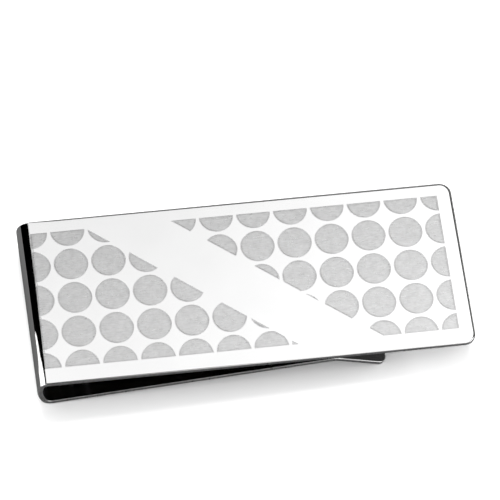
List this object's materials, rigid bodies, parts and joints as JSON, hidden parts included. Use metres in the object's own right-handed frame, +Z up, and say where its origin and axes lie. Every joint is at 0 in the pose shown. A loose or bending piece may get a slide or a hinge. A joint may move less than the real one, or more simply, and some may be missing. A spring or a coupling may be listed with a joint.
{
  "type": "money clip",
  "caption": "Folded spring-steel money clip: flat face with etched dots and a plain diagonal band, squashed C bow, sprung leaf with grip ridge and flared lip.",
  "frame": {"origin": "bottom centre of the box, on the surface the clip lies on; it rests on the bottom of the bow and on the tip of the lip", "axes": "+X along the clip from the bow to the mouth, +Y across the strip, +Z up out of the face; the face leans 2.2 degrees down towards the mouth, as it lies"},
  "size_m": [0.0534, 0.022, 0.0056],
  "materials": {
    "polished_steel": "mirror-polished stainless spring steel; the dots on the face are etched to a fine matt hatch"
  },
  "bodies": {
    "leaf_arm": {"leaf_blade": "polished_steel", "grip_ridge": "polished_steel", "lead_in_lip": "polished_steel"},
    "leaf_heel": {"bow_lower": "polished_steel", "leaf_root": "polished_steel"},
    "clip_face": {"face_plate": "polished_steel", "bow_upper": "polished_steel"}
  },
  "joints": [
    {"name": "bow_flex", "type": "hinge", "parent": "leaf_heel", "child": "clip_face", "pos_m": [-0.02668, 0, 0.00345], "axis": [0, -1, 0], "range_deg": [0, 2.79], "stiffness_Nm_per_rad": 15.53, "springref_deg": -0.27},
    {"name": "leaf_flex", "type": "hinge", "parent": "leaf_arm", "child": "leaf_heel", "pos_m": [-0.01969, 0, 0.00042], "axis": [0, -1, 0], "range_deg": [0, 5.44], "stiffness_Nm_per_rad": 6.42, "springref_deg": -0.52}
  ],
  "couplings": [
    {"joint": "leaf_flex", "follows": "bow_flex", "ratio": 1.948}
  ]
}
